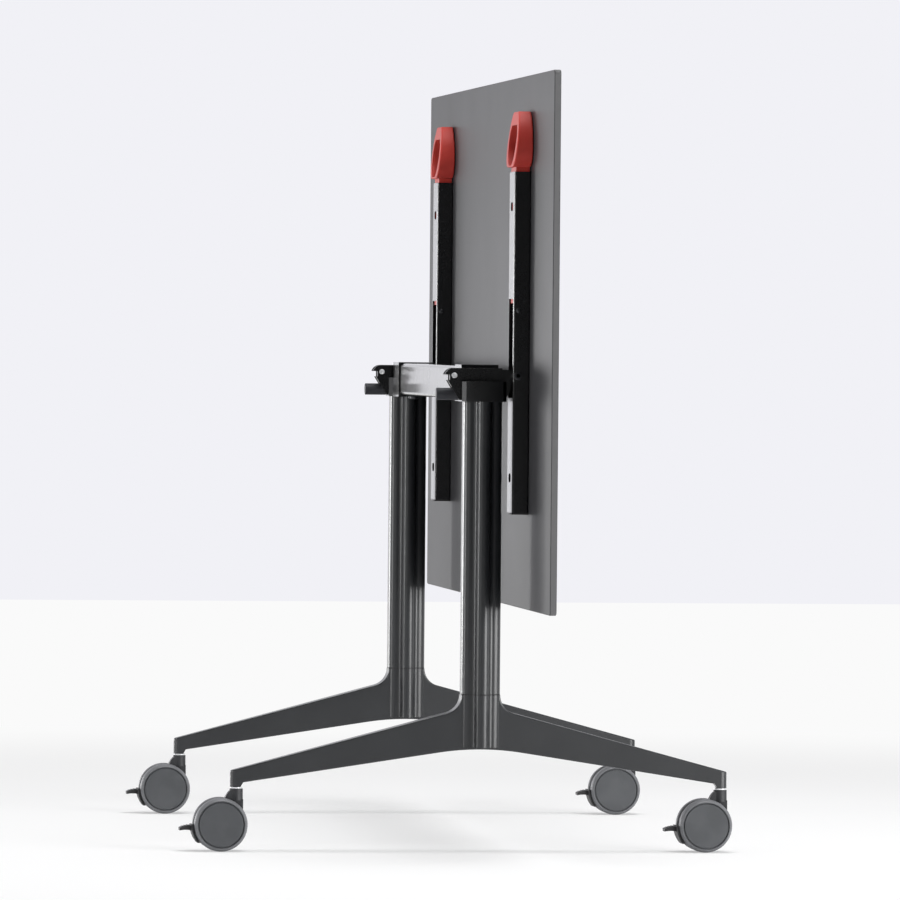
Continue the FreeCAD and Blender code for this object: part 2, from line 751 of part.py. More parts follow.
def make_base(name, side):
    """A cast foot: two tapering arms, a ribbed hub, a nut recess and stem bores."""
    body = place(new_body(name + "_base"), "column_x", leg_y(side), "0")
    outline_side = outline(sketch_on(body, "XZ_Plane"), arm_outline())
    extrude("Pad", outline_side, "arm_hub_width", both=True)
    taper = sketch_on(body, "XY_Plane")
    far, wide = "(arm_reach + cut_overrun)", "(arm_hub_width / 2 + cut_overrun)"
    box(taper, "-" + far, "-" + wide, far, wide)
    half = "arm_hub_width / 2"
    plan = [
        ("taper_start", "-" + half),
        ("taper_end_x", "-taper_end_y", "boss_radius", 1),
        ("arm_reach", "0", "boss_radius", 1),
        ("taper_end_x", "taper_end_y"),
        ("taper_start", half),
    ]
    turned = [("-(%s)" % c[0], "-(%s)" % c[1]) + tuple(c[2:]) for c in plan]
    outline(taper, plan + turned)
    extrude("Pocket", taper, "base_seam_height + cut_overrun", flip=True)
    hub = column_section(sketch_on(body, "XY_Plane", "hub_bottom_height + hub_rib_lift"))
    extrude("Pad", hub, "base_seam_height - hub_bottom_height - hub_rib_lift")
    long_edge = number("arm_reach / 2")
    soften("Fillet", body, "arm_edge_radius", lambda edge: edge.Length > long_edge
           and abs(edge.CenterOfMass.y) > number("boss_radius"))
    rod_bore = sketch_on(body, "XY_Plane", "hub_bottom_height - cut_overrun")
    circle(rod_bore, "0", "0", "tie_rod_diameter / 2 + running_clearance")
    extrude("Pocket", rod_bore, "base_seam_height - hub_bottom_height + 2 * cut_overrun", flip=True)
    recess = sketch_on(body, "XY_Plane", "hub_bottom_height - cut_overrun")
    circle(recess, "0", "0", "nut_recess_diameter / 2")
    extrude("Pocket", recess, "nut_recess_depth + cut_overrun", flip=True)
    stems = sketch_on(body, "XY_Plane", "boss_bottom_height")
    for _, end in ENDS:
        circle(stems, "%d * swivel_reach" % end, "0", "stem_diameter / 2")
    extrude("Pocket", stems, "stem_root", flip=True)


def make_head(name, side):
    """A hinge head: collar on the column, spine and barrel for the pivot, socket for the beam."""
    body = place(new_body(name + "_head"), "column_x", leg_y(side), "0")
    collar = sketch_on(body, "XY_Plane", "collar_bottom_z")
    deep, wide = "collar_depth / 2", "(collar_span / 2 - collar_bulge)"
    outline(collar, [
        (deep, "-" + wide),
        (deep, wide, "collar_side_radius", 1),
        ("-" + deep, wide),
        ("-" + deep, "-" + wide, "collar_side_radius", 1),
    ])
    extrude("Pad", collar, "collar_height")
    upright = number("collar_height / 2")
    soften("Chamfer", body, "collar_chamfer", lambda edge: edge.BoundBox.ZLength > upright)
    spine = sketch_on(body, "XZ_Plane")
    back = "collar_depth / 2"
    outline(spine, [
        ("-" + back, "collar_top_z - cut_overrun"),
        (back, "collar_top_z - spine_gusset_drop"),
        ("pivot_offset", "pivot_z - barrel_radius"),
        ("pivot_offset", "pivot_z + barrel_radius"),
        ("spine_front_step - " + back, "spine_top_z"),
        ("-" + back, "spine_top_z - spine_front_step"),
    ])
    extrude("Pad", spine, "spine_width", both=True)
    barrel = circle(sketch_on(body, "XZ_Plane"), "pivot_offset", "pivot_z", "barrel_radius")
    extrude("Pad", barrel, "barrel_width", both=True)
    inboard = -side
    deep = "beam_depth / 2 + socket_wall"
    start = "collar_span / 2 - collar_bulge - collar_chamfer"
    bridge = sketch_on(body, "XZ_Plane", "%d * (%s)" % (-inboard, start))
    box(bridge, "-(%s)" % deep, "collar_bottom_z", deep, "collar_top_z")
    extrude("Pad", bridge, "socket_start + socket_back - (%s)" % start, flip=inboard > 0)
    socket = sketch_on(body, "XZ_Plane", "%d * socket_start" % -inboard)
    box(socket, "-(%s)" % deep, "collar_bottom_z", deep, "underside_z - rail_rest_gap")
    extrude("Pad", socket, "socket_length", flip=inboard > 0)
    beam_seat = sketch_on(body, "XZ_Plane", "%d * (socket_start + socket_back)" % -inboard)
    beam_loop(beam_seat, "0")
    extrude("Pocket", beam_seat, "socket_length", flip=inboard < 0)
    rod_bore = sketch_on(body, "XY_Plane", "collar_bottom_z")
    circle(rod_bore, "0", "0", "tie_rod_diameter / 2")
    extrude("Pocket", rod_bore, "rod_engagement", flip=True)
    pin_bore = circle(sketch_on(body, "XZ_Plane"), "pivot_offset", "pivot_z", "pivot_pin_diameter / 2")
    extrude("Pocket", pin_bore, "barrel_width + cut_overrun", both=True)
    bolt_holes = sketch_on(body, "XY_Plane", "collar_bottom_z")
    for step in (-1, 1):
        circle(bolt_holes, "0", "%d * (%s)" % (inboard, bolt_reach(step)), "beam_bolt_diameter / 2")
    extrude("Pocket", bolt_holes, "beam_lift", flip=True)


def bolt_reach(step):
    """How far inboard of its leg a beam bolt stands."""
    return "socket_start + (socket_back + socket_length) / 2 + %d * beam_bolt_spacing / 2" % step


def beam_loop(sketch, inset):
    """One loop of the crossbeam's section, set in from its outer faces."""
    half = "beam_depth / 2 - %s" % inset
    low, high = "beam_low_z + %s" % inset, "beam_high_z - %s" % inset
    return rounded_box(sketch, ("-(%s)" % half, low), (half, high), "beam_round - %s" % inset)


def make_beam():
    """The crossbeam, a rounded rectangular tube between the heads' sockets."""
    body = place(new_body("crossbeam"), "column_x", "0", "0")
    section = sketch_on(body, "XZ_Plane")
    beam_loop(section, "0")
    beam_loop(section, "beam_wall")
    extrude("Pad", section, "2 * beam_end", both=True)
    holes = sketch_on(body, "XY_Plane", "beam_low_z")
    for _, side in LEGS:
        for step in (-1, 1):
            reach = "%d * (half_spacing - (%s))" % (side, bolt_reach(step))
            circle(holes, "0", reach, "beam_bolt_diameter / 2")
    extrude("Pocket", holes, "beam_wall", flip=True)


def make_hook_plates(name, side):
    """Two plates beside the head's spine, each with a beak that the latch bar's tongue goes under."""
    face = "collar_depth / 2"
    top = "underside_z - plate_top_gap"
    foot = "collar_bottom_z + jaw_foot_height"
    plates = []
    for wall in (-1, 1):
        tag = "%s_hook_plate_%s" % (name, "near" if wall < 0 else "far")
        body = place(doc.addObject("PartDesign::Body", tag), "column_x", leg_y(side), "0")
        middle = "%d * (spine_width + plate_thickness) / 2" % wall
        plate = sketch_on(body, "XZ_Plane", "-(%s)" % middle)
        outline(plate, [
            ("-(%s + jaw_foot_width)" % face, foot),
            ("-" + face, foot),
            ("-" + face, "collar_top_z"),
            ("plate_back_reach", "collar_top_z"),
            ("plate_back_reach", top),
            ("beak_ramp - beak_reach", top, "beak_radius", 1),
            ("-beak_reach", "mouth_top_z + beak_nose"),
            ("-beak_reach", "mouth_top_z"),
            ("-mouth_reach", "mouth_top_z"),
            ("-mouth_reach", "mouth_bottom_z"),
            ("-jaw_reach", "mouth_bottom_z"),
        ])
        circle(plate, "-hook_pin_reach", "pivot_z", "hook_pin_diameter / 2")
        extrude("Pad", plate, "plate_thickness", both=True)
        plates.append(body)
    group(name + "_hook_plates", plates)


def make_head_fittings():
    """Hook pins, bumpers, beam bolts, tie rods with nuts, pivot pins and bushes of both legs."""
    kinds = ("hook_pins", "nesting_bumpers", "beam_bolts", "tie_rods", "tie_rod_nuts", "pivot_pins",
             "pivot_bushes", "caster_stems")
    found = {kind: [] for kind in kinds}
    for name, side in LEGS:
        y = leg_y(side)
        reach = "(spine_width / 2 + plate_thickness + hook_pin_stand)"
        found["hook_pins"].append(rod(
            name + "_hook_pin", "Y", "column_x - hook_pin_reach", "%s - %s" % (y, reach), "pivot_z",
            "hook_pin_diameter / 2", "2 * " + reach))
        found["nesting_bumpers"].append(make_bumper(name, y))
        for step in (-1, 1):
            found["beam_bolts"].append(make_beam_bolt(name, side, step))
        rod_low = "hub_bottom_height + rod_end_inset"
        found["tie_rods"].append(rod(name + "_tie_rod", "Z", "column_x", y, rod_low, "tie_rod_diameter / 2",
                                     "collar_bottom_z + rod_engagement - (%s)" % rod_low))
        found["tie_rod_nuts"].append(make_nut(name, y))
        found["pivot_pins"].append(make_pivot_pin(name, y))
        for wall in (-1, 1):
            found["pivot_bushes"].append(make_bush(name, side, wall))
        for end_name, end in ENDS:
            found["caster_stems"].append(make_stem("%s_%s" % (end_name, name), end, y))
    for kind, items in found.items():
        group(kind, items)


def make_bumper(name, y):
    """A round bumper that stands forward from the collar, between the hook plates."""
    body = doc.addObject("PartDesign::Body", name + "_bumper")
    place(body, "column_x - collar_depth / 2", y, "collar_bottom_z + bumper_height")
    disc = circle(sketch_on(body, "YZ_Plane"), "0", "0", "bumper_diameter / 2")
    extrude("Pad", disc, "bumper_reach - collar_depth / 2", flip=True)
    front = -number("bumper_reach - collar_depth / 2") / 2
    soften("Fillet", body, "bumper_edge_radius", lambda edge: edge.BoundBox.XMax < front)
    return body


def make_beam_bolt(name, side, step):
    """A bolt up through the socket's floor into the beam."""
    tag = "%s_beam_bolt_%s" % (name, "outer" if step < 0 else "inner")
    y = "%d * (half_spacing - (%s))" % (side, bolt_reach(step))
    low = "collar_bottom_z - beam_bolt_head_height"
    head = rod(tag + "_head", "Z", "column_x", y, low, "beam_bolt_head_diameter / 2", "beam_bolt_head_height")
    shank = rod(tag + "_shank", "Z", "column_x", y, low, "beam_bolt_diameter / 2",
                "beam_bolt_head_height + beam_bolt_length")
    return joined(tag, [head, shank])


def make_nut(name, y):
    """The hexagon nut under the hub that holds the tie rod."""
    low = "hub_bottom_height + nut_recess_depth - nut_height"
    block = doc.addObject("Part::Prism", name + "_nut_block")
    block.Polygon = 6
    block.setExpression("Circumradius", cells("nut_width / sqrt(3)"))
    block.setExpression("Height", cells("nut_height"))
    place(block, "column_x", y, low)
    bore = rod(name + "_nut_bore", "Z", "column_x", y, low, "tie_rod_diameter / 2", "nut_height")
    return drilled(name + "_nut", block, bore)


def make_pivot_pin(name, y):
    """The headed pin that the rail turns on."""
    stand = "(rail_width / 2 + seat_clearance)"
    shank = rod(name + "_pin_shank", "Y", "pivot_x", "%s - %s" % (y, stand), "pivot_z",
                "pivot_pin_diameter / 2", "2 * " + stand)
    heads = []
    starts = {"near": "%s - %s - pin_head_thickness" % (y, stand), "far": "%s + %s" % (y, stand)}
    for tag, start in starts.items():
        heads.append(rod("%s_pin_head_%s" % (name, tag), "Y", "pivot_x", start, "pivot_z",
                         "pin_head_diameter / 2", "pin_head_thickness"))
    return joined(name + "_pivot_pin", [shank] + heads)


def make_bush(name, side, wall):
    """A bush on the pivot pin, between the barrel and the rail's wall."""
    tag = "%s_bush_%s" % (name, "near" if wall < 0 else "far")
    length = "inner_half_width - seat_clearance - barrel_width / 2"
    start = "barrel_width / 2" if wall > 0 else "seat_clearance - inner_half_width"
    y = "%s + %s" % (leg_y(side), start)
    outer = rod(tag + "_outer", "Y", "pivot_x", y, "pivot_z", "bush_diameter / 2", length)
    inner = rod(tag + "_inner", "Y", "pivot_x", y, "pivot_z", "pivot_pin_diameter / 2", length)
    return drilled(tag, outer, inner)


def make_stem(tag, end, y):
    """A castor stem: root in the arm's boss, flange under it, pivot in the castor's neck."""
    x = "column_x + %d * swivel_reach" % end
    low = "neck_top_z - stem_engagement"
    shank = rod(tag + "_stem_shank", "Z", x, y, low, "stem_diameter / 2",
                "boss_bottom_height + stem_root - (%s)" % low)
    flange = rod(tag + "_stem_flange", "Z", x, y, "flange_low_z", "flange_diameter / 2", "flange_thickness")
    return joined(tag + "_stem", [shank, flange])


def make_fork(tag, x, y):
    """The castor's body between its wheels, slotted for the brake lever, with a neck and horn above."""
    body = place(new_body(tag + "_caster_body"), x, y, "0")
    disc = circle(sketch_on(body, "XZ_Plane"), "-caster_trail", "wheel_radius", "fork_radius")
    extrude("Pad", disc, "fork_width", both=True)
    web = sketch_on(body, "XZ_Plane")
    neck_low = "neck_top_z - neck_height"
    horn_top = "neck_top_z - horn_drop"
    outline(web, [
        ("neck_radius", "wheel_radius"),
        ("neck_radius", neck_low + " + neck_root"),
        ("0", neck_low + " + neck_root"),
        ("0", horn_top),
        ("-neck_radius", horn_top, "horn_radius", 1),
        ("-horn_reach", horn_top + " - horn_fall"),
        ("-horn_reach", "wheel_radius"),
    ])
    extrude("Pad", web, "fork_width", both=True)
    neck = circle(sketch_on(body, "XY_Plane", neck_low), "0", "0", "neck_radius")
    extrude("Pad", neck, "neck_height")
    slot = sketch_on(body, "XZ_Plane")
    box(slot, "-(caster_trail + fork_radius + cut_overrun)", "wheel_radius - fork_radius - cut_overrun",
        "lever_ring_radius + seat_clearance - caster_trail",
        "wheel_radius + lever_ring_radius + seat_clearance")
    extrude("Pocket", slot, "fork_slot_width", both=True)
    axle_bore = circle(sketch_on(body, "XZ_Plane"), "-caster_trail", "wheel_radius", "axle_diameter / 2")
    extrude("Pocket", axle_bore, "fork_width + cut_overrun", both=True)
    stem_bore = sketch_on(body, "XY_Plane", "neck_top_z")
    circle(stem_bore, "0", "0", "stem_diameter / 2 + running_clearance")
    extrude("Pocket", stem_bore, "stem_engagement + seat_clearance")


def make_wheel(tag, x, y, outward):
    """A dished wheel disc with a grooved face, and the tread round it."""
    turn = FreeCAD.Rotation(FreeCAD.Vector(1, 0, 0), 0 if outward > 0 else 180)
    inner_face = "%s + %d * wheel_gap / 2" % (y, outward)
    bore, groove = "axle_diameter / 2 + running_clearance", "wheel_width - rim_groove_depth"
    shell, hollow, ring = "wheel_width - wheel_web", "rim_radius - rim_wall", "rim_radius - rim_width"
    face = "wheel_width - face_dish"
    core = new_body(tag + "_wheel")
    core.Placement = FreeCAD.Placement(FreeCAD.Vector(), turn)
    place(core, x, inner_face, "wheel_radius")
    spin("Revolution", outline(sketch_on(core, "XY_Plane"), [
        (bore, "0"),
        ("hub_radius", "0"),
        ("hub_radius", shell),
        (hollow, shell),
        (hollow, "0"),
        ("rim_radius", "0"),
        ("rim_radius", "wheel_width"),
        (ring, "wheel_width"),
        (ring, groove),
        (ring + " - rim_groove_width", groove),
        (ring + " - rim_groove_width", face),
        ("0", face),
        ("0", "wheel_width - axle_cover"),
        (bore, "wheel_width - axle_cover"),
    ]))
    tread = new_body(tag + "_tread")
    tread.Placement = FreeCAD.Placement(FreeCAD.Vector(), turn)
    place(tread, x, inner_face, "wheel_radius")
    shoulder = "wheel_radius - tread_round"
    spin("Revolution", outline(sketch_on(tread, "XY_Plane"), [
        ("rim_radius", "0"),
        (shoulder, "0", "tread_round", 1),
        ("wheel_radius", "tread_round"),
        ("wheel_radius", "wheel_width - crown_depth", "crown_radius", 1),
        ("rim_radius + tread_lip", "wheel_width"),
        ("rim_radius", "wheel_width"),
    ]))


def make_brake_lever(tag, x, y):
    """A lever that turns on the axle, with a shoe round both treads and a foot tab."""
    body = place(new_body(tag + "_brake_lever"), x, y, "wheel_radius")
    thin = "fork_slot_width - 2 * seat_clearance"
    ring = circle(sketch_on(body, "XZ_Plane"), "0", "0", "lever_ring_radius")
    extrude("Pad", ring, thin, both=True)
    arm = sketch_on(body, "XZ_Plane")
    box(arm, "-(shoe_inner + shoe_outer) / 2", "-lever_arm_height", "0", "0")
    extrude("Pad", arm, thin, both=True)
    shoe = sketch_on(body, "XZ_Plane")
    inner_end = "-sqrt(shoe_inner * shoe_inner - shoe_drop * shoe_drop)"
    outer_end = "-sqrt(shoe_outer * shoe_outer - shoe_drop * shoe_drop)"
    outline(shoe, [
        ("-shoe_inner", "0", "shoe_inner", 1),
        (inner_end, "-shoe_drop"),
        (outer_end, "-shoe_drop", "shoe_outer", -1),
        ("-shoe_outer", "0"),
    ])
    extrude("Pad", shoe, "shoe_width", both=True)
    tab = sketch_on(body, "XZ_Plane")
    tip, root = "-(wheel_radius + lever_reach)", "-(shoe_inner + shoe_outer) / 2"
    outline(tab, [
        (tip, "-lever_arm_height", "tab_belly_radius", -1),
        (root, "-lever_arm_height"),
        (root, "-tab_root_drop", "tab_crown_radius", 1),
        (tip, "tab_thickness - lever_arm_height"),
    ])
    extrude("Pad", tab, "tab_width", both=True)
    bore = circle(sketch_on(body, "XZ_Plane"), "0", "0", "axle_diameter / 2 + running_clearance")
    extrude("Pocket", bore, "fork_width", both=True)


def make_caster(end_name, end, name, side):
    """One twin-wheel castor: fork, axle, brake lever and two wheels."""
    tag = "%s_%s" % (end_name, name)
    x, y = "column_x + %d * swivel_reach" % end, leg_y(side)
    axle_x = x + " - caster_trail"
    make_fork(tag, x, y)
    reach = "(caster_width / 2 - axle_cover - seat_clearance)"
    axle = rod(tag + "_axle", "Y", axle_x, "%s - %s" % (y, reach), "wheel_radius", "axle_diameter / 2",
               "2 * " + reach)
    nodes[axle.Label] = axle
    make_brake_lever(tag, axle_x, y)
    for place_name, outward in (("outer", side), ("inner", -side)):
        make_wheel("%s_%s" % (tag, place_name), axle_x, y, outward)


fill_sheet()
make_top()
for leg_name, leg_side in LEGS:
    make_rail(leg_name, leg_side)
    make_handle(leg_name, leg_side)
    make_latch_bar(leg_name, leg_side)
    make_latch_spring(leg_name, leg_side)
    make_column(leg_name, leg_side)
    make_base(leg_name, leg_side)
    make_head(leg_name, leg_side)
    make_hook_plates(leg_name, leg_side)
    for foot_name, foot_end in ENDS:
        make_caster(foot_name, foot_end, leg_name, leg_side)
make_rail_trim()
make_beam()
make_head_fittings()
doc.recompute()

faults = [item.Name for item in doc.Objects if {"Invalid", "Error"} & set(item.State)]
faults += [label for label, item in nodes.items() if item.Shape.isNull() or not item.Shape.isValid()]
if faults:
    raise RuntimeError("not built: " + ", ".join(faults))
os.makedirs("parts", exist_ok=True)
for label, item in nodes.items():
    item.Shape.exportStep("parts/%s.step" % label)
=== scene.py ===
"""Flip-top table on castors with its top tilted upright, in a pale studio."""
import json
import math
import bmesh
import bpy
from mathutils import Matrix, Vector


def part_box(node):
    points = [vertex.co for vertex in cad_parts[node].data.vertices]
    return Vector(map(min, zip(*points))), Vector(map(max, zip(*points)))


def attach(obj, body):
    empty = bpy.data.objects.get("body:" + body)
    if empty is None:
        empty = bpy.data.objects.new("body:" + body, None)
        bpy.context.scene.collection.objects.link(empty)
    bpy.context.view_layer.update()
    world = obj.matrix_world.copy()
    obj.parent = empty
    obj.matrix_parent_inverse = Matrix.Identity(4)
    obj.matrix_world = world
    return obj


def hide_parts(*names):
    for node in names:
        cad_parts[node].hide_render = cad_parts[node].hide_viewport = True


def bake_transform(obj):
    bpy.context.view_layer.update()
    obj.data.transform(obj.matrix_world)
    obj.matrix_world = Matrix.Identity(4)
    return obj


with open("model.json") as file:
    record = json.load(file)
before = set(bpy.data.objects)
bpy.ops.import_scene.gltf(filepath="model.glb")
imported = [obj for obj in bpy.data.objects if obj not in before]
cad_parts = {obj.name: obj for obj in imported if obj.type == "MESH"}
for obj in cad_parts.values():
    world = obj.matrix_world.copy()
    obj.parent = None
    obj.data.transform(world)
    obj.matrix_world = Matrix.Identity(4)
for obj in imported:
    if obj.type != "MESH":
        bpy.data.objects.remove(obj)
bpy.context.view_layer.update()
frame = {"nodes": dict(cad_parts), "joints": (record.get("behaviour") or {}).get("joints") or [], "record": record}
nodes = frame["nodes"]

LEGS = ("right", "left")
ENDS = ("front", "rear")
CASTORS = tuple("%s_%s" % (end, leg) for end in ENDS for leg in LEGS)

# Camera, as measured against the photograph: its place in metres, its turns in degrees. Names that end
# in PX are pixels of a square frame.
FRAME_WIDTH_PX = 900
FOCAL_PX = 8634
HORIZON_ROW_PX = 335.1
SENSOR_MM = 36
CAMERA_AT = Vector((-1.503, -13.338, 0.773))
CAMERA_YAW = 6.62
CAMERA_ROLL = 0.51

# Studio, in metres. The strengths of the air, the backdrop and the floor's glow are shares of white.
FLOOR_REACH = 40
FLOOR_FRONT_Y = -7.0
FLOOR_BACK_Y = 11.5
AIR_DIM = 0.03
AIR_BRIGHT = 0.45
BACKDROP_GLOW = 0.97
FLOOR_GLOW = 0.42
SHADOW_REACH = 1.2

# Small hardware, in metres, apart from the painted seam shadow's growth, a ratio, and the number of ribs on a
# grip.
# The rest of its sizes come from the frame.
PIVOT_HEAD = 0.0012
PIVOT_SHANK = 0.008
RIVET_HEAD = 0.0015
RIVET_SHANK = 0.0035
BOLT_HEAD = 0.0044
BOLT_SHANK = 0.008
BOLT_SPACING = 0.028
STEM_DIAMETER = 0.010
STEM_GAP = 0.0002
FLANGE_DIAMETER = 0.018
FLANGE_THICKNESS = 0.0025
# The painted seam shadow: a near-black band at the foot of each column.
SEAM_SHADOW_HEIGHT = 0.0016
SEAM_SHADOW_PROUD = 1.004
GRIP_RIBS = 3
GRIP_INSET = 0.004
GRIP_SPACING = 0.004
GRIP_WIDTH = 0.0016
GRIP_LENGTH = 0.018
GRIP_HEIGHT = 0.0008

# Mesh making: an angle in degrees, lengths in metres, a material's samples for rounded edges, and the
# number of steps round a turned shape.
SHARP_ANGLE = 32
MERGE_DISTANCE = 1e-6
SAME_PLACE = 1e-7
BEVEL_SAMPLES = 6
PIN_STEPS = 48
STEM_STEPS = 40
SMALL_STEPS = 32


def srgb(red, green, blue):
    """A colour written in 0 to 255 as linear values."""
    values = (channel / 255 for channel in (red, green, blue))
    return tuple(v / 12.92 if v <= 0.04045 else ((v + 0.055) / 1.055) ** 2.4 for v in values)


class Wire:
    """A socket's value inside a graph. Arithmetic on it adds Math nodes."""

    def __init__(self, graph, socket):
        self.graph = graph
        self.socket = socket

    def math(self, operation, *values):
        """A Math node's result."""
        return self.graph.node("ShaderNodeMath", {"operation": operation}, dict(enumerate(values)))

    def __add__(self, other):
        return self.math("ADD", self, other)

    def __sub__(self, other):
        return self.math("SUBTRACT", self, other)

    def __rsub__(self, other):
        return self.math("SUBTRACT", other, self)

    def __mul__(self, other):
        return self.math("MULTIPLY", self, other)

    __radd__ = __add__
    __rmul__ = __mul__

    def away(self):
        """The value without its sign."""
        return self.math("ABSOLUTE", self)

    def ramp(self, low, high):
        """A smooth step from 0 at low to 1 at high."""
        return self.graph.node("ShaderNodeMapRange", {"interpolation_type": "SMOOTHSTEP"},
                               {"Value": self, "From Min": low, "From Max": high})


class Graph:
    """A node tree that is filled by one method."""

    def __init__(self, tree):
        self.tree = tree

    def node(self, kind, settings, inputs, output=0):
        """Add a node with its settings, then its sockets' values or links. Returns one output."""
        made = self.tree.nodes.new(kind)
        for name, value in settings.items():
            setattr(made, name, value)
        for socket, value in inputs.items():
            self.feed(made.inputs[socket], value)
        return Wire(self, made.outputs[output])

    def feed(self, socket, value):
        """Link a wire to a socket, or set the socket's own value. A colour gets its alpha."""
        if isinstance(value, Wire):
            self.tree.links.new(value.socket, socket)
        elif isinstance(value, tuple) and len(value) < len(socket.default_value):
            socket.default_value = (*value, 1)
        else:
            socket.default_value = value


class Finish(Graph):
    """A procedural material on Object coordinates."""

    def __init__(self, name, **constants):
        self.material = bpy.data.materials.new(name)
        self.material.use_nodes = True
        super().__init__(self.material.node_tree)
        self.shader = self.tree.nodes["Principled BSDF"]
        for socket, value in constants.items():
            self.shader.inputs[socket.replace("_", " ")].default_value = value
        self.place = self.node("ShaderNodeTexCoord", {}, {}, "Object")

    def noise(self, per_metre, detail, stretch=None):
        """Noise with that many waves in a metre, about 0.5 on average."""
        where = self.place
        if stretch:
            where = self.node("ShaderNodeMapping", {}, {"Vector": where, "Scale": stretch})
        return self.node("ShaderNodeTexNoise", {}, {"Vector": where, "Scale": per_metre, "Detail": detail})

    def blend(self, amount, first, second):
        """A colour between two, by an amount."""
        factor, colour_a, colour_b, colour_out = 0, 6, 7, 2
        inputs = {factor: amount, colour_a: first, colour_b: second}
        return self.node("ShaderNodeMix", {"data_type": "RGBA"}, inputs, colour_out)

    def colour(self, value):
        self.feed(self.shader.inputs["Base Color"], value)

    def roughness(self, value):
        self.feed(self.shader.inputs["Roughness"], value)

    def bump(self, height, depth, strength, edge):
        """Raise the surface by a height of 0 to 1 times a depth, and round its edges, both in metres."""
        rounded = self.node("ShaderNodeBevel", {"samples": BEVEL_SAMPLES}, {"Radius": edge})
        inputs = {"Height": height, "Distance": depth, "Strength": strength, "Normal": rounded}
        self.feed(self.shader.inputs["Normal"], self.node("ShaderNodeBump", {}, inputs))


def laminate(low_x, high_x):
    """Satin grey compact laminate: a sheet on both faces, and a paler core that shows along the edge."""
    finish = Finish("grey_compact_laminate", Specular_IOR_Level=0.06)
    sheet_thickness, line = 0.0009, 0.0002
    middle, half = (low_x + high_x) / 2, (high_x - low_x) / 2
    core_half = half - sheet_thickness
    x = finish.node("ShaderNodeSeparateXYZ", {}, {0: finish.place}, "X")
    core = 1 - (x - middle).away().ramp(core_half - line, core_half + line)
    speckle = finish.noise(1500, 3)
    cloud = finish.noise(3.5, 2)
    grey = finish.blend(speckle.ramp(0.35, 0.68), srgb(58, 58, 60), srgb(70, 70, 72))
    grey = finish.blend(cloud.ramp(0.3, 0.75) * 0.3, grey, srgb(54, 54, 56))
    edge = finish.blend(speckle, srgb(92, 92, 93), srgb(110, 110, 111))
    finish.colour(finish.blend(core, grey, edge))
    finish.roughness(0.33 + 0.06 * cloud + 0.04 * speckle)
    finish.bump(speckle, 0.00005, 0.4, 0.0008)
    return finish.material


def powder_coat(name, dark, light, rough, coat, coat_rough, grain_per_metre, depth):
    """Powder coat: an orange-peel skin, glossier on its high spots, with faint clouding."""
    finish = Finish(name, Specular_IOR_Level=0.5, Coat_Weight=coat, Coat_Roughness=coat_rough)
    grain = finish.noise(grain_per_metre, 2)
    cloud = finish.noise(9, 3)
    finish.colour(finish.blend(cloud.ramp(0.25, 0.8) * 0.7 + 0.3 * grain, dark, light))
    finish.roughness(rough + 0.08 * cloud + 0.1 * grain)
    finish.bump(grain, depth, 0.5, 0.0009)
    return finish.material


def moulded(name, dark, light, rough, grain_per_metre, specular=0.5):
    """Moulded plastic or rubber: a spark-eroded grain, a little paler where it is handled."""
    finish = Finish(name, Specular_IOR_Level=specular)
    grain = finish.noise(grain_per_metre, 4)
    wear = finish.noise(28, 3)
    finish.colour(finish.blend(wear.ramp(0.35, 0.75) * 0.6 + 0.4 * grain, dark, light))
    finish.roughness(rough + 0.14 * wear + 0.08 * grain)
    finish.bump(grain, 0.00007, 0.45, 0.0007)
    return finish.material


def plated(name, tone, rough, stretch, metallic=0.85):
    """Plated steel with drawn scratches along one axis and a faint bloom."""
    finish = Finish(name, Metallic=metallic)
    scratch = finish.noise(900, 3, stretch)
    bloom = finish.noise(60, 2)
    finish.colour(finish.blend(bloom.ramp(0.3, 0.7), tone, tuple(0.82 * c for c in tone)))
    finish.roughness(rough + 0.16 * scratch + 0.1 * bloom)
    finish.bump(scratch, 0.00003, 0.4, 0.0003)
    return finish.material


def paint(node, material):
    """Give a node's own surface a finish."""
    for slot in nodes[node].material_slots:
        slot.material = material


def finishes():
    """The finish of each material slot of the record."""
    low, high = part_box("tabletop")
    return {
        "laminate": laminate(low[0], high[0]),
        "powder_black": powder_coat("black_powder_coat", srgb(5, 6, 8), srgb(9, 10, 12), 0.2,
                                    coat=0.9, coat_rough=0.1, grain_per_metre=900, depth=0.00003),
        "powder_anthracite": powder_coat("anthracite_powder_coat", srgb(23, 25, 28), srgb(33, 35, 38), 0.28,
                                         coat=0.4, coat_rough=0.2, grain_per_metre=560, depth=0.00014),
        "coral_plastic": moulded("coral_grip", srgb(186, 58, 50), srgb(200, 70, 61), 0.42, 2600, 0.25),
        "castor_plastic": moulded("castor_nylon", srgb(65, 67, 70), srgb(79, 81, 84), 0.36, 1800),
        "tread_rubber": moulded("castor_tread", srgb(103, 104, 107), srgb(117, 118, 121), 0.4, 1500, 0.4),
        "zinc": plated("bright_zinc", srgb(246, 247, 249), 0.36, (1, 0.1, 1), 0.4),
        "black_zinc": plated("black_zinc", srgb(66, 67, 70), 0.24, (1, 0.1, 1)),
        "spring_steel": plated("spring_wire", srgb(160, 160, 164), 0.3, (1, 1, 0.2)),
        "black_plastic": moulded("black_moulding", srgb(28, 28, 30), srgb(38, 38, 40), 0.45, 2000),
        "bumper_rubber": moulded("bumper_rubber", srgb(40, 41, 46), srgb(54, 55, 60), 0.5, 1600, 0.4),
    }


LOOKS = finishes()
# A darker copy of the castor nylon for the castor bodies: partly a darker housing, partly painted shade for the
# gap between the wheels.
SHADED_HOUSING = moulded("castor_housing_painted_shade", srgb(34, 35, 38), srgb(46, 47, 50), 0.4, 1800)


